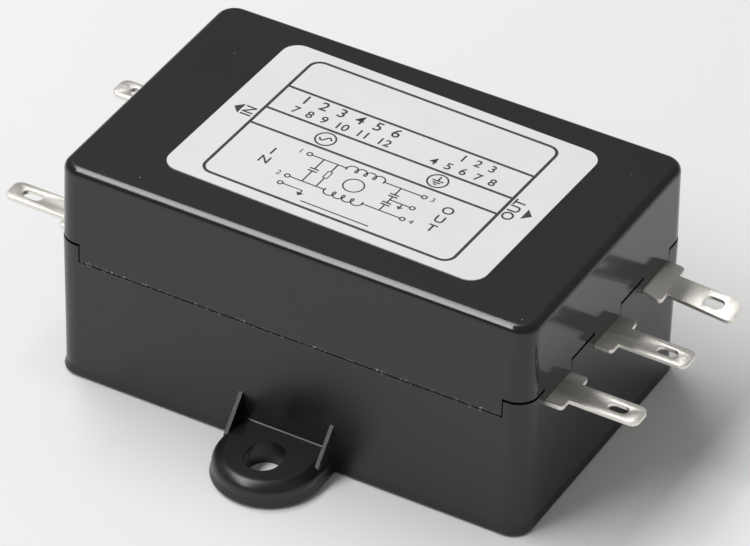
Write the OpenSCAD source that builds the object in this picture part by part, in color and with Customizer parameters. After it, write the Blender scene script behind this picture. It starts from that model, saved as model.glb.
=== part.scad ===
// Single-phase mains interference filter in a two-shell moulded case with two screw ears.
// Millimetres. The origin is the centre of the flat underside, +X points to the load end,
// +Z points up through the lid, and the ears stand out along -Y and +Y.

/* [Case] */
// Length over the two end walls, at the parting line
case_l = 52.4; // [46:0.1:60]
// Depth over the two long walls, at the parting line
case_d = 32.8; // [28:0.1:38]
// Height from the underside to the top of the lid
case_h = 25.2; // [20:0.1:30]
// Radius of the four upright corners
corner_r = 2.2; // [1.5:0.1:4]
// Radius round the top of the lid
top_r = 0.85; // [0.3:0.05:1.4]
// Radius round the underside
foot_r = 0.4; // [0.1:0.05:1]
// Lean of the lid's outer walls away from the parting line, in degrees
lid_draft = 0.7; // [0:0.05:2]
// Lean of the lower shell's outer walls, in degrees
base_draft = 0.55; // [0:0.05:2]
// How far the lower shell and its ears stand out in a lip at the underside
lip_w = 0.2; // [0.05:0.05:0.5]
// Height of that lip
lip_h = 1.1; // [0.8:0.1:1.4]
// Wall thickness of both shells
wall = 1.6; // [1.2:0.1:2.5]
// Thickness of the floor
floor_t = 2.0; // [1.2:0.1:3]
// Thickness of the lid's roof
roof_t = 1.6; // [1.2:0.1:3]

/* [Parting line] */
// Height where the base wall ends on the long sides
seam_z = 14.3; // [12:0.1:17]
// Height where the base wall ends on the end walls and round the corners
end_z = 16.25; // [14:0.05:19]
// Length of the higher part of the parting line, in from each end
step_in = 2.63; // [2:0.01:5]
// Open line between the shells on the long sides
seam_gap = 0.14; // [0.05:0.01:0.4]
// Open line between the shells on the ends and corners
end_gap = 0.28; // [0.05:0.01:0.5]
// Thickness of the locating rim inside the lid
rim_t = 0.65; // [0.4:0.05:1]
// Height of the top of the locating rim
rim_z = 17.6; // [17:0.1:20]
// Side clearance between rim and lid
rim_gap = 0.05; // [0.02:0.01:0.2]

/* [Screw ears] */
// Width of each ear
ear_w = 11; // [9:0.1:14]
// Thickness of each ear
ear_t = 2.65; // [1.5:0.05:4]
// Radius round the ear's top edge
ear_r = 1.2; // [0.3:0.1:1.8]
// Reach of the ear's round end, from the side wall to its centre
ear_out = 3.4; // [2:0.1:7]
// Distance from the side wall to the centre of the screw slot
slot_out = 4.1; // [2.5:0.1:7]
// Width of the screw slot
slot_w = 3.8; // [3:0.1:5]
// Length of the screw slot, end to end
slot_l = 4.6; // [4:0.1:8]
// Distance over the two gusset ribs on each ear
rib_w = 10.6; // [8:0.1:10.8]
// Thickness of those ribs
rib_t = 0.4; // [0.3:0.05:1.2]
// Height of a rib where it meets the wall
rib_z = 5.7; // [3:0.1:9]
// Height of a rib at its outer end
rib_end_z = 2.35; // [1.5:0.05:4]
// Distance from the side wall to the outer end of a rib
rib_out = 2.9; // [1:0.1:5]
// Fillet between the ear's top and the wall
ear_fillet = 0.2; // [0.1:0.05:0.6]

/* [Terminals] */
// Spacing of the terminals across an end wall
pitch = 10.16; // [8:0.01:12]
// Height of the tabs' underside above the parting line
tab_lift = 0.2; // [0:0.05:0.6]
// Thickness of the tab metal
tab_t = 0.5; // [0.4:0.05:0.8]
// Width of the blade
blade_w = 2.8; // [2:0.1:6.3]
// Width of the root that passes through the wall
root_w = 5.4; // [4:0.1:8]
// Length of a tab inside the end face
tab_inside = 5.6; // [4.8:0.1:6]
// Reach of the wide root outside the end face
root_out = 1.9; // [1:0.1:4]
// Reach of the whole tab outside the end face
tab_out = 9.1; // [6:0.1:14]
// Radius of the two corners at the tip
tip_r = 0.85; // [0.2:0.05:1.3]
// Radius of the two outer corners of the root
root_r = 0.45; // [0.1:0.05:1]
// Width of the wire slot in the blade
eye_w = 1.25; // [0.8:0.05:1.6]
// Length of the wire slot, end to end
eye_l = 2.15; // [1.3:0.05:3]
// Distance from the tip to the near end of the wire slot
eye_in = 1.55; // [1:0.05:3]
// Side clearance of a tab in its notch
notch_gap = 0.05; // [0.02:0.01:0.2]
// Twist of the bent tab where its wide root ends, in degrees
bend_root = 6; // [0:0.5:15]
// Twist of the bent tab at its tip, in degrees
bend_tip = 17; // [0:0.5:30]
// Drop of the bent tab where its wide root ends
drop_root = 0.4; // [0:0.05:1]
// Drop of the bent tab at its tip
drop_tip = 0.92; // [0:0.02:2]
// Distance from the end face in to the rivet that holds each tab
rivet_in = 3.9; // [3.4:0.1:4.4]
// Radius of the rivet shank
rivet_r = 0.75; // [0.5:0.05:1]
// Radius of the rivet head
rivet_head_r = 1.35; // [1:0.05:2]
// Thickness of the rivet head
rivet_head_t = 0.45; // [0.2:0.05:0.8]
// Radius of the hole through the rivet
rivet_bore_r = 0.35; // [0.2:0.05:0.4]

/* [Label] */
// Length of the sticker
label_l = 35.7; // [20:0.1:40]
// Depth of the sticker
label_d = 24.4; // [15:0.1:28]
// Thickness of the sticker
label_t = 0.12; // [0.05:0.01:0.3]
// Radius of its corners
label_r = 1.8; // [0.5:0.1:3]
// Sideways place of its middle
label_x = 0.7; // [-3:0.1:3]
// Front-to-back place of its middle
label_y = 0.55; // [-3:0.05:3]
// How far it was stuck on out of square, in degrees
label_turn = -1.65; // [-5:0.05:5]

/* [Circuit board] */
// Clearance between the board and each end wall
board_end_gap = 0.4; // [0.1:0.1:2]
// Clearance between the board and each side wall
board_side_gap = 0.3; // [0.1:0.1:2]
// Thickness of the board
board_t = 1.6; // [1:0.1:2]
// Cut across each corner of the board
board_cut = 1.2; // [0.5:0.1:3]
// Length of each corner post under the board
post_l = 3; // [2:0.1:5]
// Depth of each corner post under the board
post_d = 2.4; // [1.5:0.1:4]
// Thickness of the copper tracks
track_t = 0.1; // [0.05:0.01:0.2]
// Width of the copper tracks
track_w = 2.2; // [1:0.1:4]

/* [Choke] */
// Radius of the ring core's centre line
core_r = 7.4; // [6:0.1:9]
// Radius of the ring core's section
core_s = 3.2; // [2:0.1:4]
// Radius of the winding wire
wire_r = 0.35; // [0.2:0.01:0.5]
// Turns on each of the two windings
turns = 11; // [5:1:14]
// Angle taken by each winding, in degrees
wind_a = 134; // [90:1:150]
// Thickness of the mounting plate over the choke
plate_t = 0.8; // [0.5:0.1:1.5]
// Radius of the mounting plate
plate_r = 9.9; // [8:0.1:10.2]
// Thickness of the divider between the windings
divider_t = 1.2; // [0.8:0.1:2]

/* [Capacitors and resistor] */
// Size of the box capacitor along X
xcap_l = 8.5; // [6:0.1:10]
// Size of the box capacitor along Y
xcap_d = 18; // [13:0.1:20]
// Clearance between the roof and the tallest components
roof_gap = 0.5; // [0.3:0.1:2]
// Distance from the end face in to the middle of the box capacitor
xcap_in = 11.1; // [10.6:0.1:13]
// Size of each foot under the box capacitor
xcap_foot = 1.4; // [1:0.1:2]
// Height of those feet
xcap_lift = 0.4; // [0.3:0.05:0.8]
// Lead spacing of the box capacitor
xcap_pitch = 15; // [10:0.1:15]
// Height of a disc capacitor's lower edge above the board
disc_lift = 1.1; // [0.5:0.1:2]
// Radius round the edge of a disc capacitor
disc_edge = 1; // [0.4:0.1:1.4]
// Thickness of each disc capacitor
disc_t = 3.2; // [2:0.1:4]
// Place of the disc capacitors along X
disc_x = 12.6; // [8:0.1:16]
// Place of each disc capacitor along Y
disc_y = 5.6; // [4.5:0.1:9]
// Lead spacing of a disc capacitor
disc_pitch = 5; // [4:0.1:7.5]
// Length of the resistor's body
res_l = 6.4; // [5:0.1:9]
// Radius of the resistor's body at its end caps
res_r = 1.2; // [0.8:0.05:1.6]
// Distance from the box capacitor's wall to the resistor's middle
res_in = 2.85; // [2.2:0.05:3]
// Distance between the resistor's two leads
res_pitch = 15.24; // [14.8:0.01:16]
// Radius of the component leads
lead_r = 0.3; // [0.2:0.05:0.5]
// Length of lead left standing under the board
lead_tail = 0.9; // [0.7:0.1:1.5]
// Height of each cone of solder
solder_h = 0.7; // [0.4:0.05:0.9]

/* [Hidden] */

tab_z = seam_z + tab_lift;                 // underside of every tab, and top of the board
board_z = tab_z - board_t;                // underside of the board
choke_z = board_z - track_t - plate_t - core_s - 2*wire_r - 0.02;   // height of the ring core's centre
notch_w = root_w + 2*notch_gap;
inner_x = case_l/2 - wall;
inner_y = case_d/2 - wall;
step_x = case_l/2 - step_in;              // from the middle out to the step in the parting line
ear_y = case_d/2 + ear_out;
slot_y = case_d/2 + slot_out;
rib_y = case_d/2 + rib_out;
tab_in = case_l/2 - tab_inside;
root_x = case_l/2 + root_out;
tip_x = case_l/2 + tab_out;
rivet_x = case_l/2 - rivet_in;
board_l = 2*(inner_x - board_end_gap);
board_d = 2*(inner_y - board_side_gap);
headroom = case_h - roof_t - roof_gap - tab_z;   // height for components on the board
xcap_x = -case_l/2 + xcap_in;
disc_r = (headroom - disc_lift)/2;
res_x = xcap_x + xcap_l/2 + res_in;
lean = tan(base_draft);

// ---- shell blocks ---------------------------------------------------------

// Section of a block that is w wide at the parting line (y = 0), leans in by the draft up to
// y = h where its edges are rounded, and carries on down to y = -run at the same slope. With a
// lip, the last lip_h before y = h flares out by that much.
module side_2d(w, h, run, r, a, lip) {
    b = lip > 0 ? 0 : a;
    c = w/2 + lip - (h - r)*tan(a) - r/cos(b);
    x0 = w/2 + run*tan(a);
    x1 = c + r*cos(b);
    y1 = h - r + r*sin(b);
    x2 = w/2 - (h - lip_h)*tan(a);
    polygon(concat([[-x0, -run], [x0, -run]], lip > 0 ? [[x2, h - lip_h]] : [],
                   [[x1, y1], [c, h - r], [c, h], [-c, h], [-c, h - r], [-x1, y1]],
                   lip > 0 ? [[-x2, h - lip_h]] : []));
    for (m = [0, 1]) mirror([m, 0]) translate([c, h - r]) intersection() {
        circle(r, $fn = 32);
        polygon([[0, 0], 2*r*[cos(b), sin(b)], [2*r, 2*r], [0, 2*r]]);
    }
}

// The same block in three dimensions: two crossed bars and a quarter turn in each corner.
module block(l, d, cr, h, run, r, a, lip) {
    bl = l - 2*cr;
    bd = d - 2*cr;
    rotate([90, 0, 90]) linear_extrude(bl, center = true) side_2d(d, h, run, r, a, lip);
    rotate([90, 0, 0]) linear_extrude(bd, center = true) side_2d(l, h, run, r, a, lip);
    for (q = [0:3]) let (x = q == 0 || q == 3 ? 1 : -1, y = q < 2 ? 1 : -1)
        translate([x*bl/2, y*bd/2, 0]) rotate([0, 0, 90*q])
            rotate_extrude(angle = 90, $fn = 64) intersection() {
                side_2d(2*cr, h, run, r, a, lip);
                translate([0, -run - 1]) square([cr + 2, h + run + 2]);
            }
}

// Outside of the upper shell, starting z0 above the underside.
module lid_block(z0) translate([0, 0, seam_z])
    block(case_l, case_d, corner_r, case_h - seam_z, seam_z - z0, top_r, lid_draft, 0);

// Outside of the lower shell, ending z1 above the underside.
module base_block(z1) translate([0, 0, seam_z]) mirror([0, 0, 1])
    block(case_l, case_d, corner_r, seam_z, z1 - seam_z, foot_r, base_draft, lip_w);

// Plain upright block inset from the outside by t, from z0 to z1, for cavities and the rim.
module inset_block(t, z0, z1) {
    translate([0, 0, z0]) linear_extrude(z1 - z0)
        rounded_2d(case_l - 2*t, case_d - 2*t, max(corner_r - t, 0.4));
}

// Places of the five terminals, as [end, side] pairs.
function tab_places() = [[1, -1], [1, 0], [1, 1], [-1, -1], [-1, 1]];

// ---- lower shell ----------------------------------------------------------

module slot_cut() {
    e = slot_l/2 - slot_w/2;
    translate([-slot_w/2, -slot_y - e, -1]) cube([slot_w, 2*e, ear_t + 2]);
    for (s = [-1, 1]) translate([0, -slot_y + s*e, -1]) cylinder(h = ear_t + 2, d = slot_w, $fn = 48);
}

module ear_half_2d() {
    half = ear_w/2;
    polygon([[0, 0], [half + lip_w - foot_r, 0], [half + lip_w, foot_r], [half, lip_h], [half, ear_t - ear_r],
             [half - ear_r, ear_t - ear_r], [half - ear_r, ear_t], [0, ear_t]]);
    translate([half - ear_r, ear_t - ear_r]) intersection() {
        circle(ear_r, $fn = 32);
        square(ear_r*2);
    }
}

// Gusset ribs stand just inside the sides of the ear, and the ear's top runs into the wall
// through a small fillet between them.
module ear() {
    wy = case_d/2 - wall/2;
    difference() {
        union() {
            translate([0, -wy, 0]) rotate([90, 0, 0]) linear_extrude(ear_y - wy) {
                ear_half_2d();
                mirror([1, 0]) ear_half_2d();
            }
            translate([0, -ear_y, 0]) rotate([0, 0, 180]) rotate_extrude(angle = 180, $fn = 96) ear_half_2d();
        }
        slot_cut();
    }
    face = case_d/2 - (seam_z - rib_z)*lean;
    for (s = [-1, 1]) translate([s*(rib_w/2 - rib_t/2), 0, 0]) rotate([90, 0, 90])
        linear_extrude(rib_t, center = true)
            polygon([[-wy, 0], [-wy, rib_z], [-face, rib_z], [-rib_y, rib_end_z], [-rib_y, 0]]);
    foot = case_d/2 - (seam_z - ear_t)*lean;
    translate([0, -foot, ear_t]) rotate([90, 0, 90])
        linear_extrude(rib_w - rib_t, center = true) difference() {
            translate([-ear_fillet, -0.1]) square([ear_fillet + 0.3, ear_fillet + 0.1]);
            translate([-ear_fillet, ear_fillet]) circle(ear_fillet, $fn = 24);
        }
}

module base_case() color([0.10, 0.10, 0.105]) {
    difference() {
        union() {
            difference() {
                base_block(end_z);
                translate([-step_x, -case_d, seam_z]) cube([2*step_x, 2*case_d, case_h]);
            }
            inset_block(wall - rim_t, floor_t, rim_z);
        }
        inset_block(wall, floor_t, rim_z + 1);
        for (p = tab_places()) mirror([p[0] < 0 ? 1 : 0, 0, 0])
            translate([inner_x - 1, p[1]*pitch - notch_w/2, tab_z]) cube([2*wall + 1, notch_w, case_h]);
    }
    for (m = [0, 1]) mirror([0, m, 0]) ear();
    for (x = [-1, 1], y = [-1, 1])
        translate([x > 0 ? inner_x - post_l : -inner_x, y > 0 ? inner_y - post_d : -inner_y, floor_t - 0.5])
            cube([post_l, post_d, board_z - floor_t + 0.5]);
}

// ---- upper shell ----------------------------------------------------------

// Its skirt is cut back for the rim and for the high ends of the base, except at the tongues
// that drop into the notches and close on the tabs.
module lid() color([0.10, 0.10, 0.105]) difference() {
    lid_block(seam_z + seam_gap);
    inset_block(wall, seam_z - 1, case_h - roof_t);
    difference() {
        union() {
            inset_block(wall - rim_t - rim_gap, seam_z - 1, rim_z);
            for (m = [0, 1]) mirror([m, 0, 0]) translate([step_x - seam_gap, -case_d, seam_z - 1])
                cube([case_l, 2*case_d, end_z + end_gap - seam_z + 1]);
        }
        for (p = tab_places()) mirror([p[0] < 0 ? 1 : 0, 0, 0])
            translate([inner_x - 1, p[1]*pitch - root_w/2, tab_z + tab_t]) cube([2*wall + 1, root_w, case_h]);
    }
}

module rounded_2d(l, d, r) {
    square([l - 2*r, d], center = true);
    square([l, d - 2*r], center = true);
    for (x = [-1, 1], y = [-1, 1]) translate([x*(l/2 - r), y*(d/2 - r)]) circle(r, $fn = 32);
}

module label() color([0.93, 0.93, 0.92])
    translate([label_x, label_y, case_h]) rotate([0, 0, label_turn])
        linear_extrude(label_t) rounded_2d(label_l, label_d, label_r);

// ---- terminals ------------------------------------------------------------

module eye_2d(len, w) {
    square([len - w, w], center = true);
    for (s = [-1, 1]) translate([s*(len - w)/2, 0]) circle(d = w, $fn = 24);
}

// Bar from x0 to x1 with its two outer corners rounded.
module bar_2d(x0, x1, w, r) {
    translate([x0, -w/2]) square([x1 - x0 - r, w]);
    translate([x1 - r - 0.1, -w/2 + r]) square([r + 0.1, w - 2*r]);
    for (s = [-1, 1]) translate([x1 - r, s*(w/2 - r)]) circle(r, $fn = 24);
}

module tab_inner_2d(x1) difference() {
    bar_2d(tab_in, x1, root_w, root_r);
    translate([rivet_x, 0]) circle(rivet_r + 0.02, $fn = 24);
}

module tab() color([0.80, 0.79, 0.76]) translate([0, 0, tab_z]) linear_extrude(tab_t) difference() {
    union() {
        tab_inner_2d(root_x);
        bar_2d(root_x - 1, tip_x, blade_w, tip_r);
    }
    translate([tip_x - eye_in - eye_l/2, 0]) eye_2d(eye_l, eye_w);
}

// The bent tab leaves the wall flat, then twists and sags as it runs out.
bend_x = case_l/2 + 0.1;
function turn_at(x) = x < bend_x ? 0 : x < root_x ? bend_root*(x - bend_x)/(root_x - bend_x)
    : bend_root + (bend_tip - bend_root)*(x - root_x)/(tip_x - root_x);
function drop_at(x) = x < bend_x ? 0 : x < root_x ? -drop_root*(x - bend_x)/(root_x - bend_x)
    : -drop_root - (drop_tip - drop_root)*(x - root_x)/(tip_x - root_x);
function strip_corner(x, hw, s, t) = [x,
    s*hw*cos(turn_at(x)) - t*tab_t/2*sin(turn_at(x)),
    drop_at(x) + s*hw*sin(turn_at(x)) + t*tab_t/2*cos(turn_at(x))];

// Twisted strip through the stations xs, hw[i] half wide at each.
module strip(xs, hw) {
    n = len(xs);
    pts = [for (i = [0:n - 1]) each [strip_corner(xs[i], hw[i], -1, -1), strip_corner(xs[i], hw[i], 1, -1),
                                     strip_corner(xs[i], hw[i], 1, 1), strip_corner(xs[i], hw[i], -1, 1)]];
    sides = [for (i = [0:n - 2], k = [0:3]) each let (a = 4*i + k, b = 4*i + (k + 1)%4)
        [[a, a + 4, b], [b, a + 4, b + 4]]];
    polyhedron(pts, concat([[0, 1, 2], [0, 2, 3]], sides,
        [[4*n - 4, 4*n - 2, 4*n - 3], [4*n - 4, 4*n - 1, 4*n - 2]]));
}

module bent_tab() color([0.80, 0.79, 0.76]) {
    translate([0, 0, tab_z]) linear_extrude(tab_t) difference() {
        translate([tab_in, -root_w/2]) square([bend_x - tab_in, root_w]);
        translate([rivet_x, 0]) circle(rivet_r + 0.02, $fn = 24);
    }
    translate([0, 0, tab_z + tab_t/2]) {
        round_x = [for (a = [0:18:90]) root_x - root_r + root_r*sin(a)];
        strip(concat([bend_x - 0.1], [for (i = [0:7]) bend_x + i*(root_x - root_r - bend_x)/8], round_x),
              concat([for (i = [0:8]) root_w/2], [for (a = [0:18:90]) root_w/2 - root_r + root_r*cos(a)]));
        difference() {
            strip(concat([for (i = [0:11]) root_x - 0.5 + i*(tip_x - tip_r - root_x + 0.5)/12],
                         [for (a = [0:15:90]) tip_x - tip_r + tip_r*sin(a)]),
                  concat([for (i = [0:11]) blade_w/2],
                         [for (a = [0:15:90]) blade_w/2 - tip_r + tip_r*cos(a)]));
            mx = tip_x - eye_in - eye_l/2;
            translate([mx, 0, drop_at(mx)]) rotate([turn_at(mx), 0, 0])
                linear_extrude(4*tab_t, center = true) eye_2d(eye_l, eye_w);
        }
    }
}

module load_tab_live() translate([0, pitch, 0]) bent_tab();
module load_tab_earth() tab();
module load_tab_neutral() translate([0, -pitch, 0]) tab();
module line_tab_live() translate([0, pitch, 0]) rotate([0, 0, 180]) tab();
module line_tab_neutral() translate([0, -pitch, 0]) rotate([0, 0, 180]) tab();

// One turned rivet through each tab and the board, its tail rolled over under the board.
rivet_tail_t = 0.35;
tail_z = board_z - track_t - rivet_tail_t;
module tab_rivets() color([0.72, 0.66, 0.45])
    for (p = tab_places()) translate([p[0]*rivet_x, p[1]*pitch, 0]) rotate_extrude($fn = 32) {
        translate([rivet_bore_r, tail_z]) square([rivet_r - rivet_bore_r, tab_z + tab_t + 0.1 - tail_z]);
        translate([rivet_bore_r, tab_z + tab_t]) square([rivet_head_r - rivet_bore_r, rivet_head_t]);
        translate([rivet_bore_r, tail_z]) square([rivet_head_r - 0.1 - rivet_bore_r, rivet_tail_t]);
    }

// ---- circuit board --------------------------------------------------------

wind_end = wind_a/2;
function lead_places() = concat(
    [for (s = [-1, 1], e = [-1, 1]) let (a = 90*s + e*wind_end) (core_r + core_s + wire_r)*[cos(a), sin(a)]],
    [for (s = [-1, 1]) [xcap_x, s*xcap_pitch/2]],
    [for (s = [-1, 1], e = [-1, 1]) [disc_x, s*disc_y + e*disc_pitch/2]],
    [for (s = [-1, 1]) [res_x, s*res_pitch/2]]);

module circuit_board() color([0.62, 0.50, 0.26]) translate([0, 0, board_z]) linear_extrude(board_t)
    difference() {
        polygon([for (q = [[1, 1], [-1, 1], [-1, -1], [1, -1]]) each
            let (a = [q[0]*(board_l/2 - board_cut), q[1]*board_d/2],
                 b = [q[0]*board_l/2, q[1]*(board_d/2 - board_cut)])
            q[0]*q[1] > 0 ? [b, a] : [a, b]]);
        for (p = tab_places()) translate([p[0]*rivet_x, p[1]*pitch]) circle(rivet_r + 0.02, $fn = 24);
        for (p = lead_places()) translate(p) circle(0.5, $fn = 16);
    }

// Straight run of copper between two points.
module track(a, b) {
    v = b - a;
    translate(a) rotate(atan2(v[1], v[0])) translate([-track_w/2, -track_w/2])
        square([norm(v) + track_w, track_w]);
}

module copper_tracks() color([0.72, 0.43, 0.20]) translate([0, 0, board_z - track_t]) linear_extrude(track_t)
    difference() {
        union() {
            for (s = [-1, 1]) {
                w = (core_r + core_s + wire_r)*[cos(90 - wind_end), s*sin(90 - wind_end)];
                track([-rivet_x, s*pitch], [xcap_x, s*(pitch + 1.2)]);
                track([xcap_x, s*(pitch + 1.2)], [-w[0], s*(pitch + 1.2)]);
                track([-w[0], s*(pitch + 1.2)], [-w[0], w[1]]);
                track([xcap_x, s*xcap_pitch/2], [xcap_x, s*(pitch + 1.2)]);
                track([res_x, s*res_pitch/2], [-w[0], s*res_pitch/2]);
                track([w[0], w[1]], [w[0], s*(pitch + 1.2)]);
                track([w[0], s*(pitch + 1.2)], [rivet_x, s*pitch]);
                track([disc_x, s*(disc_y + disc_pitch/2)], [disc_x, s*(pitch + 1.2)]);
                track([disc_x, s*(disc_y - disc_pitch/2)], [disc_x + 4, 0]);
            }
            track([disc_x + 4, 0], [rivet_x, 0]);
        }
        for (p = tab_places()) translate([p[0]*rivet_x, p[1]*pitch]) circle(rivet_r + 0.02, $fn = 24);
        for (p = lead_places()) translate(p) circle(0.5, $fn = 16);
        circle(plate_r + 0.2, $fn = 64);
    }

// A small cone of solder round every lead, hollow for the lead.
module solder_joints() color([0.75, 0.75, 0.76])
    for (p = lead_places()) translate([p[0], p[1], board_z - track_t]) mirror([0, 0, 1])
        difference() {
            cylinder(h = solder_h, r1 = 0.95, r2 = 0.5, $fn = 24);
            translate([0, 0, -1]) cylinder(h = 3, r = wire_r + 0.01, $fn = 16);
        }

// ---- choke ----------------------------------------------------------------

module choke_core() color([0.16, 0.32, 0.20]) translate([0, 0, choke_z])
    rotate_extrude($fn = 60) translate([core_r, 0]) circle(core_s - 0.01, $fn = 28);

module winding(s) color([0.70, 0.34, 0.14]) {
    for (i = [0:turns - 1]) rotate([0, 0, 90*s - wind_end + i*wind_a/(turns - 1)])
        translate([core_r, 0, choke_z]) rotate([90, 0, 0])
            rotate_extrude($fn = 20) translate([core_s + wire_r, 0]) circle(wire_r, $fn = 8);
    for (e = [-1, 1]) rotate([0, 0, 90*s + e*wind_end]) translate([core_r + core_s + wire_r, 0, choke_z])
        cylinder(h = tab_z + xcap_lift/2 - choke_z, r = wire_r, $fn = 12);
}

module winding_live() winding(1);
module winding_neutral() winding(-1);

// Plate under the board with the divider that keeps the two windings apart.
module choke_mount() color([0.86, 0.86, 0.82]) {
    translate([0, 0, board_z - track_t - plate_t]) cylinder(h = plate_t, r = plate_r, $fn = 64);
    for (a = [45:90:315]) rotate([0, 0, a]) translate([plate_r - 2, 0, board_z - track_t - 0.1])
        cylinder(h = track_t + 0.1, r = 1, $fn = 16);
    translate([-(core_r - core_s) + 0.05, -divider_t/2, choke_z - core_s])
        cube([2*(core_r - core_s) - 0.1, divider_t, board_z - track_t - choke_z + core_s - plate_t/2]);
}

// ---- capacitors and resistor ----------------------------------------------

module x_capacitor() color([0.85, 0.72, 0.20]) translate([xcap_x, 0, tab_z]) {
    translate([0, 0, xcap_lift]) linear_extrude(headroom - xcap_lift) rounded_2d(xcap_l, xcap_d, 0.5);
    for (x = [-1, 1], y = [-1, 1])
        translate([x*(xcap_l/2 - 0.85*xcap_foot), y*(xcap_d/2 - 0.85*xcap_foot), xcap_lift/2 + 0.05])
            cube([xcap_foot, xcap_foot, xcap_lift + 0.1], center = true);
}

module x_capacitor_leads() color([0.78, 0.78, 0.78])
    for (s = [-1, 1]) translate([xcap_x, s*xcap_pitch/2, board_z - track_t - lead_tail])
        cylinder(h = board_t + track_t + lead_tail + xcap_lift, r = lead_r, $fn = 16);

module disc(s) color([0.15, 0.35, 0.66])
    translate([disc_x, s*disc_y, tab_z + disc_lift + disc_r]) rotate([0, 90, 0]) rotate_extrude($fn = 48) {
        translate([0, -disc_t/2]) square([disc_r - disc_edge, disc_t]);
        translate([0, -disc_t/2 + disc_edge]) square([disc_r, disc_t - 2*disc_edge]);
        for (e = [-1, 1]) translate([disc_r - disc_edge, e*(disc_t/2 - disc_edge)]) intersection() {
            circle(disc_edge, $fn = 24);
            translate([0, -disc_edge]) square(2*disc_edge);
        }
    }

module y_capacitor_live() disc(1);
module y_capacitor_neutral() disc(-1);

// Two straight leads that run from the lower edge of the disc down through the board.
module disc_leads(s) color([0.78, 0.78, 0.78]) {
    e0 = disc_pitch/2;
    top = tab_z + disc_lift + disc_r - sqrt(disc_r*disc_r - pow(e0 + lead_r, 2));
    for (e = [-1, 1]) difference() {
        translate([disc_x, s*disc_y + e*e0, board_z - track_t - lead_tail])
            cylinder(h = top - board_z + track_t + lead_tail, r = lead_r, $fn = 16);
        translate([disc_x, s*disc_y, tab_z + disc_lift + disc_r]) rotate([0, 90, 0])
            cylinder(h = disc_t*2, r = disc_r, center = true, $fn = 48);
    }
}

module y_leads_live() disc_leads(1);
module y_leads_neutral() disc_leads(-1);

res_z = tab_z + res_r + 0.02;

module bleed_resistor() color([0.55, 0.70, 0.78]) translate([res_x, 0, res_z]) rotate([90, 0, 0])
    rotate_extrude($fn = 32) {
        translate([0, -res_l/2 + 0.6]) square([res_r - 0.2, res_l - 1.2]);
        for (s = [-1, 1]) translate([0, s*(res_l/2 - 0.8) - 0.8]) square([res_r, 1.6]);
    }

// Leads run straight out of the body, turn down and pass through the board.
module resistor_leads() color([0.78, 0.78, 0.78]) for (s = [-1, 1]) {
    translate([res_x, s*res_l/2, res_z]) rotate([-90*s, 0, 0])
        cylinder(h = (res_pitch - res_l)/2, r = lead_r, $fn = 16);
    translate([res_x, s*res_pitch/2, res_z]) sphere(r = lead_r, $fn = 16);
    translate([res_x, s*res_pitch/2, board_z - track_t - lead_tail])
        cylinder(h = res_z - board_z + track_t + lead_tail, r = lead_r, $fn = 16);
}

base_case();
lid();
label();
load_tab_live();
load_tab_earth();
load_tab_neutral();
line_tab_live();
line_tab_neutral();
tab_rivets();
circuit_board();
copper_tracks();
solder_joints();
choke_core();
winding_live();
winding_neutral();
choke_mount();
x_capacitor();
x_capacitor_leads();
y_capacitor_live();
y_capacitor_neutral();
y_leads_live();
y_leads_neutral();
bleed_resistor();
resistor_leads();
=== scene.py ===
"""A small mains line filter: its finishes, the print on its label, and the studio it stands in."""

import math

import bmesh
import bpy
from mathutils import Matrix, Vector


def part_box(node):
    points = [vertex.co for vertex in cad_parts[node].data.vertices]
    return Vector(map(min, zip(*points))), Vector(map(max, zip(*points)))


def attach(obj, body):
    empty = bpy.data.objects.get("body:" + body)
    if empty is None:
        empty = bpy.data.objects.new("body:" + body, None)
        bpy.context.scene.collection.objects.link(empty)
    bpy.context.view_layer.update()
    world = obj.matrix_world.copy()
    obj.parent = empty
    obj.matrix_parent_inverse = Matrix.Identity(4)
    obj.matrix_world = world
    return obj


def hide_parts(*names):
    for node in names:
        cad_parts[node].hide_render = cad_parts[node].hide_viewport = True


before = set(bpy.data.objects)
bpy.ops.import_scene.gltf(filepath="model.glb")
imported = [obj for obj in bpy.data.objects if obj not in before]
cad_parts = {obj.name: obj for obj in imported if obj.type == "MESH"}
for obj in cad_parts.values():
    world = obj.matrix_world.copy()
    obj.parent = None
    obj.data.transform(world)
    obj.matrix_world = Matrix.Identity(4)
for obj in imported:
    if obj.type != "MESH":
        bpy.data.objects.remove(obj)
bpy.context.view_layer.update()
MM = 0.001

# ---- circuit board ---------------------------------------------------------
# A single-sided phenolic paper board, sawn to size and punched for its leads. The resin is
# tan and faintly glossy, with the paper's fibres showing through it.


def from_hex(colour):
    """An sRGB hex colour as the linear colour that a shader takes."""
    parts = [int(colour[i:i + 2], 16) / 255 for i in (1, 3, 5)]
    return [p / 12.92 if p <= 0.04045 else ((p + 0.055) / 1.055) ** 2.4 for p in parts] + [1.0]


def add(tree, kind, inputs=(), **settings):
    """Adds a node with its settings. An input is a plain value, or the socket that feeds it."""
    made = tree.nodes.new(kind)
    for name, value in settings.items():
        setattr(made, name, value)
    for name, value in dict(inputs).items():
        if isinstance(value, bpy.types.NodeSocket):
            tree.links.new(value, made.inputs[name])
        else:
            made.inputs[name].default_value = value
    return made


def new_material(name, **constants):
    """A material with one Principled shader. Returns it, its tree, shader and object coordinates."""
    material = bpy.data.materials.new(name)
    material.use_nodes = True
    tree = material.node_tree
    shader = tree.nodes["Principled BSDF"]
    for socket, value in constants.items():
        shader.inputs[socket.replace("_", " ")].default_value = value
    place = add(tree, "ShaderNodeTexCoord").outputs["Object"]
    return material, tree, shader, place


def finish(material, *nodes):
    """Gives CAD nodes this material in place of their plain one."""
    for name in nodes:
        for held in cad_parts[name].material_slots:
            held.material = material


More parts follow.
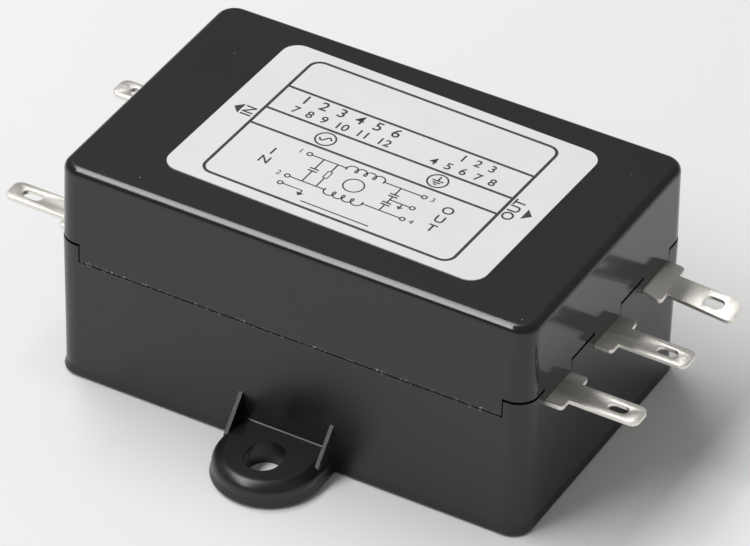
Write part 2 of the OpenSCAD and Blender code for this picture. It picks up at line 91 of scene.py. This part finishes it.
phenolic, tree, shader, place = new_material("phenolic_paper_board", Roughness=0.42)
fibre_mm = 0.35
along = add(tree, "ShaderNodeMapping", {"Vector": place, "Scale": (1.0, 0.25, 1.0)})
fibres = add(tree, "ShaderNodeTexNoise", {"Vector": along.outputs[0], "Scale": 1 / (fibre_mm * MM),
                                          "Detail": 4.0})
tan = add(tree, "ShaderNodeMix", {0: fibres.outputs["Fac"], 6: from_hex("#a98449"), 7: from_hex("#c9a468")},
          data_type="RGBA")
tree.links.new(tan.outputs[2], shader.inputs["Base Color"])
finish(phenolic, "circuit_board")

# ---- tracks and solder -----------------------------------------------------
# Etched copper on the board's upper side, dulled where it was handled, and the solder that a
# wave left round each lead: bright, but never quite smooth.
copper, tree, shader, place = new_material("etched_copper", Metallic=1.0)
tarnish_mm = 2.5
spots = add(tree, "ShaderNodeTexNoise", {"Vector": place, "Scale": 1 / (tarnish_mm * MM), "Detail": 5.0})
hue = add(tree, "ShaderNodeMix", {0: spots.outputs["Fac"], 6: from_hex("#8f4f2c"), 7: from_hex("#d98d5f")},
          data_type="RGBA")
dull = add(tree, "ShaderNodeMapRange", {"Value": spots.outputs["Fac"], "To Min": 0.5, "To Max": 0.25})
tree.links.new(hue.outputs[2], shader.inputs["Base Color"])
tree.links.new(dull.outputs[0], shader.inputs["Roughness"])
finish(copper, "copper_tracks")

solder, tree, shader, place = new_material("wave_solder", Metallic=1.0)
shader.inputs["Base Color"].default_value = from_hex("#c3c6ca")
frost_mm = 0.4
frost = add(tree, "ShaderNodeTexNoise", {"Vector": place, "Scale": 1 / (frost_mm * MM), "Detail": 3.0})
matt = add(tree, "ShaderNodeMapRange", {"Value": frost.outputs["Fac"], "To Min": 0.12, "To Max": 0.5})
tree.links.new(matt.outputs[0], shader.inputs["Roughness"])
finish(solder, "solder_joints")

# ---- choke -----------------------------------------------------------------
# A sintered ferrite ring under a sprayed coat of epoxy, on a moulded nylon stand, with two
# windings of enamelled copper wire. The coat is a little orange-peeled.
core_coat, tree, shader, place = new_material("sprayed_epoxy_coat", Roughness=0.38)
peel_mm = 0.5
peel = add(tree, "ShaderNodeTexNoise", {"Vector": place, "Scale": 1 / (peel_mm * MM), "Detail": 2.0})
tint = add(tree, "ShaderNodeMix", {0: peel.outputs["Fac"], 6: from_hex("#2c5140"), 7: from_hex("#38634f")},
           data_type="RGBA")
relief = add(tree, "ShaderNodeBump", {"Height": peel.outputs["Fac"], "Strength": 0.4, "Distance": 0.05 * MM})
tree.links.new(tint.outputs[2], shader.inputs["Base Color"])
tree.links.new(relief.outputs[0], shader.inputs["Normal"])
finish(core_coat, "choke_core")

magnet_wire, tree, shader, place = new_material("enamelled_copper_wire", Metallic=1.0, Roughness=0.24,
                                                Coat_Weight=0.6)
draw_mm = 1.2
marks = add(tree, "ShaderNodeTexNoise", {"Vector": place, "Scale": 1 / (draw_mm * MM), "Detail": 3.0})
amber = add(tree, "ShaderNodeMix", {0: marks.outputs["Fac"], 6: from_hex("#a5531f"), 7: from_hex("#cf7d3c")},
            data_type="RGBA")
tree.links.new(amber.outputs[2], shader.inputs["Base Color"])
finish(magnet_wire, "winding_live", "winding_neutral")

stand_nylon, tree, shader, place = new_material("natural_nylon", Roughness=0.5)
flow_mm = 3.0
flow = add(tree, "ShaderNodeTexNoise", {"Vector": place, "Scale": 1 / (flow_mm * MM), "Detail": 3.0})
ivory = add(tree, "ShaderNodeMix", {0: flow.outputs["Fac"], 6: from_hex("#cfc7b3"), 7: from_hex("#e2dccb")},
            data_type="RGBA")
tree.links.new(ivory.outputs[2], shader.inputs["Base Color"])
finish(stand_nylon, "choke_mount")

# ---- capacitors, resistor and their leads ----------------------------------
# The capacitor across the line is a film winding potted in a yellow flame-retardant box, the
# two to earth are ceramic discs dipped in blue epoxy, and the resistor has a baked lacquer.
box_pbt, tree, shader, place = new_material("yellow_pbt_box", Roughness=0.36)
spark_mm = 0.25
spark = add(tree, "ShaderNodeTexNoise", {"Vector": place, "Scale": 1 / (spark_mm * MM), "Detail": 3.0})
yellow = add(tree, "ShaderNodeMix", {0: spark.outputs["Fac"], 6: from_hex("#c9a21e"), 7: from_hex("#dcb72f")},
             data_type="RGBA")
relief = add(tree, "ShaderNodeBump", {"Height": spark.outputs["Fac"], "Strength": 0.3, "Distance": 0.02 * MM})
tree.links.new(yellow.outputs[2], shader.inputs["Base Color"])
tree.links.new(relief.outputs[0], shader.inputs["Normal"])
finish(box_pbt, "x_capacitor")

disc_epoxy, tree, shader, place = new_material("dipped_blue_epoxy", Roughness=0.3)
dip_mm = 1.4
dip = add(tree, "ShaderNodeTexNoise", {"Vector": place, "Scale": 1 / (dip_mm * MM), "Detail": 2.0})
blue = add(tree, "ShaderNodeMix", {0: dip.outputs["Fac"], 6: from_hex("#1f4f86"), 7: from_hex("#2c679f")},
           data_type="RGBA")
relief = add(tree, "ShaderNodeBump", {"Height": dip.outputs["Fac"], "Strength": 0.5, "Distance": 0.1 * MM})
tree.links.new(blue.outputs[2], shader.inputs["Base Color"])
tree.links.new(relief.outputs[0], shader.inputs["Normal"])
finish(disc_epoxy, "y_capacitor_live", "y_capacitor_neutral")

lacquer, tree, shader, place = new_material("baked_lacquer", Roughness=0.28)
speck_mm = 0.3
dots = add(tree, "ShaderNodeTexNoise", {"Vector": place, "Scale": 1 / (speck_mm * MM), "Detail": 2.0})
tan = add(tree, "ShaderNodeMix", {0: dots.outputs["Fac"], 6: from_hex("#b8986b"), 7: from_hex("#cdb187")},
          data_type="RGBA")
tree.links.new(tan.outputs[2], shader.inputs["Base Color"])
finish(lacquer, "bleed_resistor")

lead_wire, tree, shader, place = new_material("tinned_copper_lead", Metallic=1.0)
shader.inputs["Base Color"].default_value = from_hex("#bfc0c0")
rub_mm = 0.6
rub = add(tree, "ShaderNodeTexNoise", {"Vector": place, "Scale": 1 / (rub_mm * MM), "Detail": 3.0})
matt = add(tree, "ShaderNodeMapRange", {"Value": rub.outputs["Fac"], "To Min": 0.2, "To Max": 0.45})
tree.links.new(matt.outputs[0], shader.inputs["Roughness"])
finish(lead_wire, "x_capacitor_leads", "y_leads_live", "y_leads_neutral", "resistor_leads")

# ---- terminals -------------------------------------------------------------
# Five solder tabs, blanked from 0.5 mm brass strip and dipped in tin, each riveted to the board.
# The die left their edges soft. The tin is white and satin, pitted like orange peel, and smeared
# along the blade.
tin, tree, shader, place = new_material("dip_tinned_brass", Metallic=1.0)
pit_mm = 0.16
smear_mm = 1.6
pits = add(tree, "ShaderNodeTexNoise", {"Vector": place, "Scale": 1 / (pit_mm * MM), "Detail": 3.0,
                                        "Roughness": 0.65})
drawn = add(tree, "ShaderNodeMapping", {"Vector": place, "Scale": (0.3, 1.0, 1.0)})
smears = add(tree, "ShaderNodeTexNoise", {"Vector": drawn.outputs[0], "Scale": 1 / (smear_mm * MM),
                                          "Detail": 4.0})
white = add(tree, "ShaderNodeMix", {0: smears.outputs["Fac"], 6: from_hex("#e9e4d9"), 7: from_hex("#faf8f4")},
            data_type="RGBA")
matt = add(tree, "ShaderNodeMapRange", {"Value": smears.outputs["Fac"], "From Min": 0.3, "From Max": 0.7,
                                        "To Min": 0.36, "To Max": 0.5})
relief = add(tree, "ShaderNodeBump", {"Height": pits.outputs["Fac"], "Strength": 0.7, "Distance": 0.05 * MM})
tree.links.new(white.outputs[2], shader.inputs["Base Color"])
tree.links.new(matt.outputs[0], shader.inputs["Roughness"])
tree.links.new(relief.outputs[0], shader.inputs["Normal"])

die_roll_mm = 0.07
for name in ("load_tab_live", "load_tab_earth", "load_tab_neutral", "line_tab_live", "line_tab_neutral"):
    blank = bmesh.new()
    blank.from_mesh(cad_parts[name].data)
    bmesh.ops.remove_doubles(blank, verts=blank.verts, dist=0.001 * MM)
    bmesh.ops.dissolve_limit(blank, verts=blank.verts, edges=blank.edges, angle_limit=math.radians(0.3))
    corners = [e for e in blank.edges if len(e.link_faces) == 2 and e.calc_face_angle() > math.radians(50)]
    bmesh.ops.bevel(blank, geom=corners, offset=die_roll_mm * MM, segments=2, profile=0.5,
                    affect="EDGES", material=-1, clamp_overlap=True)
    for face in blank.faces:
        face.smooth = True
    tab_mesh = bpy.data.meshes.new(name + "_tinned")
    blank.to_mesh(tab_mesh)
    blank.free()
    tab_mesh.set_sharp_from_angle(angle=math.radians(35))
    tab_mesh.materials.append(tin)
    tab = bpy.data.objects.new(name + "_tinned", tab_mesh)
    bpy.context.collection.objects.link(tab)
    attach(tab, "root")
    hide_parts(name)

brass, tree, shader, place = new_material("rivet_brass", Metallic=1.0)
wipe_mm = 0.8
wipe = add(tree, "ShaderNodeTexNoise", {"Vector": place, "Scale": 1 / (wipe_mm * MM), "Detail": 3.0})
gold = add(tree, "ShaderNodeMix", {0: wipe.outputs["Fac"], 6: from_hex("#a98340"), 7: from_hex("#cfae6c")},
           data_type="RGBA")
matt = add(tree, "ShaderNodeMapRange", {"Value": wipe.outputs["Fac"], "To Min": 0.22, "To Max": 0.42})
tree.links.new(gold.outputs[2], shader.inputs["Base Color"])
tree.links.new(matt.outputs[0], shader.inputs["Roughness"])
finish(brass, "tab_rivets")

# ---- lower shell -----------------------------------------------------------
# Black PBT, injection moulded in one piece with its two screw ears. The cavity was drawn and
# stoned by hand, which leaves a half gloss with very fine lines up and down the walls. Burrs
# of flash stand along the joint with the lid; their pale specks are a painted highlight.
base_pbt, tree, shader, place = new_material("black_pbt_stoned", IOR=1.55)
stone_mm = 0.18
upright = add(tree, "ShaderNodeMapping", {"Vector": place, "Scale": (1.0, 1.0, 0.06)})
stoning = add(tree, "ShaderNodeTexNoise", {"Vector": upright.outputs[0], "Scale": 1 / (stone_mm * MM),
                                           "Detail": 3.0})
cloud_mm = 9.0
clouds = add(tree, "ShaderNodeTexNoise", {"Vector": place, "Scale": 1 / (cloud_mm * MM), "Detail": 4.0})
black = add(tree, "ShaderNodeMix", {0: clouds.outputs["Fac"], 6: from_hex("#161617"), 7: from_hex("#1f1f20")},
            data_type="RGBA")
gloss = add(tree, "ShaderNodeMapRange", {"Value": clouds.outputs["Fac"], "From Min": 0.3, "From Max": 0.7,
                                         "To Min": 0.26, "To Max": 0.36})
relief = add(tree, "ShaderNodeBump", {"Height": stoning.outputs["Fac"], "Strength": 0.12,
                                      "Distance": 0.02 * MM})


def flash_burr_glints(tree, place, colour, joint_z, half_mm, run):
    """The colour with pale specks, a painted highlight on flash burrs, along the joint at joint_z, where x is
    within run of the middle.
    """
    axes = add(tree, "ShaderNodeSeparateXYZ", {"Vector": place})
    off = add(tree, "ShaderNodeMath", {0: axes.outputs["Z"], 1: joint_z}, operation="SUBTRACT")
    away = add(tree, "ShaderNodeMath", {0: off.outputs[0]}, operation="ABSOLUTE")
    close = add(tree, "ShaderNodeMapRange", {"Value": away.outputs[0], "From Min": half_mm * MM,
                                             "From Max": half_mm * MM / 2})
    side = add(tree, "ShaderNodeMath", {0: axes.outputs["X"]}, operation="ABSOLUTE")
    inside = add(tree, "ShaderNodeMath", {0: side.outputs[0], 1: run}, operation="LESS_THAN")
    burr_mm = 0.45
    torn = add(tree, "ShaderNodeTexNoise", {"Vector": place, "Scale": 1 / (burr_mm * MM), "Detail": 4.0,
                                            "Roughness": 0.7})
    stands = add(tree, "ShaderNodeMapRange", {"Value": torn.outputs["Fac"], "From Min": 0.55,
                                              "From Max": 0.68})
    there = add(tree, "ShaderNodeMath", {0: close.outputs[0], 1: inside.outputs[0]}, operation="MULTIPLY")
    pale = add(tree, "ShaderNodeMath", {0: there.outputs[0], 1: stands.outputs[0]}, operation="MULTIPLY")
    # The pale colour is a painted highlight: the light caught by the burrs, drawn as colour.
    return add(tree, "ShaderNodeMix", {0: pale.outputs[0], 6: colour, 7: from_hex("#a3a29f")},
               data_type="RGBA").outputs[2]


joint_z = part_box("lid")[0].z
step_in = 2.9
low_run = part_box("lid")[1].x - step_in * MM
# Painted highlight: pale specks on the flash burrs just below the joint.
with_burr_glints = flash_burr_glints(tree, place, black.outputs[2], joint_z - 0.12 * MM, 0.16, low_run)
tree.links.new(with_burr_glints, shader.inputs["Base Color"])
tree.links.new(gloss.outputs[0], shader.inputs["Roughness"])
tree.links.new(relief.outputs[0], shader.inputs["Normal"])
finish(base_pbt, "base_case")

# ---- lid -------------------------------------------------------------------
# The same black PBT, pressed over the base. Its walls are polished and its top has a faint
# lengthwise grain; there it has picked up pale dust and a few hair-fine scratches.
lid_pbt, tree, shader, place = new_material("black_pbt_polished", IOR=1.55)
height = add(tree, "ShaderNodeSeparateXYZ", {"Vector": place}).outputs["Z"]
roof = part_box("lid")[1].z
on_top = add(tree, "ShaderNodeMapRange", {"Value": height, "From Min": roof - 0.12 * MM,
                                          "From Max": roof - 0.02 * MM}).outputs[0]
grain_mm = 0.35
lengthwise = add(tree, "ShaderNodeMapping", {"Vector": place, "Scale": (0.45, 1.0, 1.0)})
grain = add(tree, "ShaderNodeTexNoise", {"Vector": lengthwise.outputs[0], "Scale": 1 / (grain_mm * MM),
                                         "Detail": 4.0, "Roughness": 0.7})
clouds = add(tree, "ShaderNodeTexNoise", {"Vector": place, "Scale": 1 / (cloud_mm * MM), "Detail": 4.0})
black = add(tree, "ShaderNodeMix", {0: clouds.outputs["Fac"], 6: from_hex("#151516"), 7: from_hex("#1d1d1e")},
            data_type="RGBA")
dust_mm = 0.9
dust = add(tree, "ShaderNodeTexVoronoi", {"Vector": place, "Scale": 1 / (dust_mm * MM)})
chance = add(tree, "ShaderNodeSeparateColor", {"Color": dust.outputs["Color"]}).outputs[0]
size = add(tree, "ShaderNodeMapRange", {"Value": chance, "From Min": 0.86, "To Max": 0.11})
depth = add(tree, "ShaderNodeMath", {0: size.outputs[0], 1: dust.outputs["Distance"]}, operation="SUBTRACT")
motes = add(tree, "ShaderNodeMapRange", {"Value": depth.outputs[0], "From Min": 0.0, "From Max": 0.03})
seen = add(tree, "ShaderNodeMath", {0: motes.outputs[0], 1: on_top}, operation="MULTIPLY")
dusty = add(tree, "ShaderNodeMix", {0: seen.outputs[0], 6: black.outputs[2], 7: from_hex("#7d7d7f")},
            data_type="RGBA")
gloss = add(tree, "ShaderNodeMapRange", {"Value": on_top, "To Min": 0.13, "To Max": 0.27})
rough_top = add(tree, "ShaderNodeMath", {0: grain.outputs["Fac"], 1: on_top}, operation="MULTIPLY")
relief = add(tree, "ShaderNodeBump", {"Height": rough_top.outputs[0], "Strength": 0.3, "Distance": 0.02 * MM})
# Painted highlight: pale specks on the flash burrs just above the joint.
with_burr_glints = flash_burr_glints(tree, place, dusty.outputs[2], joint_z + 0.1 * MM, 0.16, low_run)
tree.links.new(with_burr_glints, shader.inputs["Base Color"])
tree.links.new(gloss.outputs[0], shader.inputs["Roughness"])
tree.links.new(relief.outputs[0], shader.inputs["Normal"])
finish(lid_pbt, "lid")

# ---- label -----------------------------------------------------------------
# Die-cut white polyester film with a pressure-sensitive back, laid on by hand and so a touch
# out of square. Its print is thermal-transfer ink, which sits on the film as a thin dark skin.
film, tree, shader, place = new_material("white_polyester_film", Roughness=0.38, IOR=1.5)
lay_mm = 7.0
lay = add(tree, "ShaderNodeTexNoise", {"Vector": place, "Scale": 1 / (lay_mm * MM), "Detail": 3.0})
chalk = add(tree, "ShaderNodeMix", {0: lay.outputs["Fac"], 6: from_hex("#e4e4e5"), 7: from_hex("#efeff0")},
            data_type="RGBA")
relief = add(tree, "ShaderNodeBump", {"Height": lay.outputs["Fac"], "Strength": 0.25, "Distance": 0.03 * MM})
tree.links.new(chalk.outputs[2], shader.inputs["Base Color"])
tree.links.new(relief.outputs[0], shader.inputs["Normal"])
finish(film, "label")

label_low, label_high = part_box("label")
label_middle = (label_low + label_high) / 2
label_turn = math.radians(-1.65)
ink_thick = 0.012 * MM
print_bm = bmesh.new()


def keep_mesh(mesh, spin, x, y):
    """Adds a flat mesh to the print, turned by spin and set at (x, y) mm from the label's middle."""
    mesh.transform(Matrix.Translation((x * MM, y * MM, 0)) @ Matrix.Rotation(math.radians(spin), 4, "Z"))
    print_bm.from_mesh(mesh)
    bpy.data.meshes.remove(mesh)


def ink_line(points, width=0.15, closed=False):
    """A printed line through points in mm: a round bar, pressed flat on the film further down."""
    curve = bpy.data.curves.new("line", "CURVE")
    curve.dimensions = "3D"
    curve.bevel_depth = width * MM / 2
    curve.bevel_resolution = 1
    curve.use_fill_caps = True
    spline = curve.splines.new("POLY")
    spline.points.add(len(points) - 1)
    for held, (x, y) in zip(spline.points, points):
        held.co = (x * MM, y * MM, 0, 1)
    spline.use_cyclic_u = closed
    carrier = bpy.data.objects.new("line", curve)
    keep_mesh(bpy.data.meshes.new_from_object(carrier), 0, 0, 0)
    bpy.data.objects.remove(carrier)
    bpy.data.curves.remove(curve)


def arc(x, y, radius, start, end, steps=16):
    """Points on an arc round (x, y), from start to end degrees."""
    turn = [math.radians(start + (end - start) * i / steps) for i in range(steps + 1)]
    return [(x + radius * math.cos(t), y + radius * math.sin(t)) for t in turn]


def ring(x, y, radius, width=0.15):
    ink_line(arc(x, y, radius, 0, 360, 28)[:-1], width, closed=True)


def ink_text(words, x, y, size, spin=0.0, bold=0.0):
    """Words centred on (x, y), with capitals of about 0.7 of size."""
    curve = bpy.data.curves.new("words", "FONT")
    curve.body = words
    curve.size = size * MM
    curve.offset = bold * MM
    curve.align_x = "CENTER"
    curve.align_y = "CENTER"
    carrier = bpy.data.objects.new("words", curve)
    keep_mesh(bpy.data.meshes.new_from_object(carrier), spin, x, y)
    bpy.data.objects.remove(carrier)
    bpy.data.curves.remove(curve)


def wedge(x, y, radius, towards, squeeze=1.0):
    """A solid triangle about (x, y), pointing towards an angle in degrees."""
    made = bmesh.new()
    bmesh.ops.create_circle(made, cap_ends=True, segments=3, radius=radius * MM)
    bmesh.ops.rotate(made, verts=made.verts, matrix=Matrix.Rotation(math.radians(-90), 3, "Z"))
    bmesh.ops.scale(made, verts=made.verts, vec=(squeeze, 1, 1))
    mesh = bpy.data.meshes.new("wedge")
    made.to_mesh(mesh)
    made.free()
    keep_mesh(mesh, towards, x, y)


# The ruled frame with its three cross lines.
frame_w, frame_e, frame_s, frame_n = -14.2, 13.85, -10.8, 10.75
round_mm = 1.2
outline = (arc(frame_e - round_mm, frame_n - round_mm, round_mm, 0, 90, 6)
           + arc(frame_w + round_mm, frame_n - round_mm, round_mm, 90, 180, 6)
           + arc(frame_w + round_mm, frame_s + round_mm, round_mm, 180, 270, 6)
           + arc(frame_e - round_mm, frame_s + round_mm, round_mm, 270, 360, 6))
ink_line(outline, 0.32, closed=True)
for y in (5.55, 1.35, -1.6):
    ink_line([(frame_w, y), (frame_e, y)], 0.3)

# The circuit: two coils on one core between the rails, a capacitor and a resistor across the
# line, and a capacitor from each rail to earth.
rail_n, rail_s, coil_w, coil_e = -3.07, -7.22, -2.1, 1.95
for rail, up in ((rail_n, 1), (rail_s, -1)):
    ring(-6.4, rail, 0.26)
    ring(6.55, rail, 0.26)
    ink_line([(-6.12, rail), (coil_w, rail)])
    ink_line([(coil_e, rail), (6.28, rail)])
    loop = (coil_e - coil_w) / 4
    for turn in range(4):
        middle = coil_w + loop * (turn + 0.5)
        ink_line(arc(middle, rail, loop * 0.62, 180 * (up < 0) + 205, 180 * (up < 0) - 25, 14), 0.15)
ring(-0.15, -5.16, 1.05)
plate_width, plate_half = 0.18, 0.5
across_x, across_y = -4.75, -5.09
ink_line([(across_x, rail_n), (across_x, across_y + 0.2)])
ink_line([(across_x, across_y - 0.2), (across_x, rail_s)])
for side in (0.2, -0.2):
    ink_line([(across_x - plate_half, across_y + side), (across_x + plate_half, across_y + side)],
             plate_width)
resistor_x, resistor_n, resistor_s = -3.16, -4.5, -5.6
ink_line([(resistor_x, rail_n), (resistor_x, resistor_n)])
ink_line([(resistor_x, resistor_s), (resistor_x, rail_s)])
ink_line([(resistor_x - 0.24, resistor_n), (resistor_x + 0.24, resistor_n),
          (resistor_x + 0.24, resistor_s), (resistor_x - 0.24, resistor_s)], closed=True)
earth_x, earth_y = 3.95, -5.23
ink_line([(earth_x, rail_n), (earth_x, -4.3)])
ink_line([(earth_x, -4.66), (earth_x, -5.78)])
ink_line([(earth_x, -6.14), (earth_x, rail_s)])
for y in (-4.3, -4.66, -5.78, -6.14):
    ink_line([(earth_x - plate_half, y), (earth_x + plate_half, y)], plate_width)
ink_line([(earth_x, earth_y), (6.22, earth_y)])
ring(6.48, earth_y, 0.26)
ink_line([(5.37, earth_y), (5.37, -5.7)])
wedge(5.37, -5.85, 0.42, -90, 0.7)
ring(-6.4, -8.53, 0.26)
ink_line([(-6.12, -8.53), (-3.9, -8.53), (-3.9, -8.95)])
wedge(-3.9, -9.1, 0.48, -90, 0.7)

# Which end is which, and plain terminal numbers.
for letter, y in zip("IN", (-4.6, -6.2)):
    ink_text(letter, -9.67, y, 1.6, bold=0.02)
for letter, y in zip("OUT", (-3.8, -5.4, -7.0)):
    ink_text(letter, 9.6, y, 1.6, bold=0.02)
ink_text("IN", -15.15, -0.2, 1.7, 90, 0.02)
ink_text("OUT", 14.85, -0.2, 1.7, 90, 0.02)
wedge(-16.3, -0.2, 1.0, 180, 0.55)
wedge(16.3, -0.2, 1.0, 0, 0.55)
for number, x, y in (("1", -7.4, rail_n), ("2", -7.4, rail_s), ("3", 7.5, rail_n), ("4", 7.5, rail_s)):
    ink_text(number, x, y, 1.0)

# Plain numbers in rows, the signs for alternating current and for earth, each in a ring, and a
# blank rule to write on.
ink_text("1  2  3  4  5  6", -6.2, 4.35, 1.95, bold=0.02)
ink_text("7  8  9  10  11  12", -6.2, 2.45, 1.55, bold=0.02)
ink_text("1  2  3", 8.2, 4.35, 1.55, bold=0.02)
ink_text("4  5  6  7  8", 7.6, 2.45, 1.55, bold=0.02)
sign_y, sign_r, sign_width = -0.12, 1.05, 0.18
supply_x, ground_x = -6.4, 6.3
ring(supply_x, sign_y, sign_r, sign_width)
ink_line([(supply_x + 0.65 * t / 8, sign_y + 0.36 * math.sin(math.pi * t / 8)) for t in range(-8, 9)],
         sign_width)
ring(ground_x, sign_y, sign_r, sign_width)
ink_line([(ground_x, 0.62), (ground_x, -0.1)], sign_width)
for half, y in ((0.62, -0.1), (0.4, -0.42), (0.18, -0.72)):
    ink_line([(ground_x - half, y), (ground_x + half, y)], sign_width)
ink_line([(-3.2, -10.0), (4.4, -10.0)], 0.15)

label_print = bpy.data.meshes.new("label_print")
print_bm.to_mesh(label_print)
print_bm.free()
label_print.transform(Matrix.Diagonal((1, 1, 0.08, 1)))
label_print.transform(Matrix.Translation((label_middle.x, label_middle.y, label_high.z + ink_thick))
                      @ Matrix.Rotation(label_turn, 4, "Z"))
label_ink = bpy.data.objects.new("label_ink", label_print)
bpy.context.collection.objects.link(label_ink)

ink, tree, shader, place = new_material("transfer_ink", Roughness=0.45)
thin_mm = 0.5
thin = add(tree, "ShaderNodeTexNoise", {"Vector": place, "Scale": 1 / (thin_mm * MM), "Detail": 3.0})
shade = add(tree, "ShaderNodeMix", {0: thin.outputs["Fac"], 6: from_hex("#1f1f21"), 7: from_hex("#4a4a4d")},
            data_type="RGBA")
tree.links.new(shade.outputs[2], shader.inputs["Base Color"])
label_print.materials.append(ink)
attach(label_ink, "root")

# ---- studio ----------------------------------------------------------------
# A white table, one long soft box that runs from front to back overhead, a little to the left,
# and dim grey walls all round.
table = bmesh.new()
bmesh.ops.create_grid(table, x_segments=1, y_segments=1, size=3.0)
table_mesh = bpy.data.meshes.new("table")
table.to_mesh(table_mesh)
table.free()
table_top = bpy.data.objects.new("table", table_mesh)
bpy.context.collection.objects.link(table_top)
paint, tree, shader, place = new_material("matt_white_board", Roughness=0.9)
shader.inputs["Base Color"].default_value = from_hex("#f6f6f6")
table_mesh.materials.append(paint)

room = bpy.data.worlds.new("room")
room.use_nodes = True
room.node_tree.nodes["Background"].inputs["Color"].default_value = (1, 1, 1, 1)
room.node_tree.nodes["Background"].inputs["Strength"].default_value = 0.26
bpy.context.scene.world = room
bpy.context.scene.view_settings.view_transform = "Standard"

soft = bpy.data.lights.new("soft_box", "AREA")
soft.shape = "RECTANGLE"
soft.size = 0.2
soft.size_y = 1.4
soft.energy = 8.0
soft_box = bpy.data.objects.new("soft_box", soft)
box_left, box_height = -0.34, 0.78
soft_box.location = (box_left, -0.28, box_height)
soft_box.rotation_euler = (0, math.atan2(box_left, box_height), 0)
bpy.context.collection.objects.link(soft_box)

azimuth, elevation, roll = math.radians(28.4934), math.radians(37.2859), math.radians(1.5871)
back = Vector((math.sin(azimuth) * math.cos(elevation), -math.cos(azimuth) * math.cos(elevation),
               math.sin(elevation)))
level = Vector((math.cos(azimuth), math.sin(azimuth), 0))
upward = back.cross(level)
right = math.cos(roll) * level + math.sin(roll) * upward
up = math.cos(roll) * upward - math.sin(roll) * level
lens = bpy.data.cameras.new("camera")
lens.sensor_width = 36
lens.lens = 289.866
lens.clip_start = 0.01
lens.clip_end = 20
camera = bpy.data.objects.new("camera", lens)
camera.matrix_world = (Matrix.Translation((0.225918, -0.415257, 0.371528))
                       @ Matrix((right, up, back)).transposed().to_4x4())
bpy.context.collection.objects.link(camera)
bpy.context.scene.camera = camera
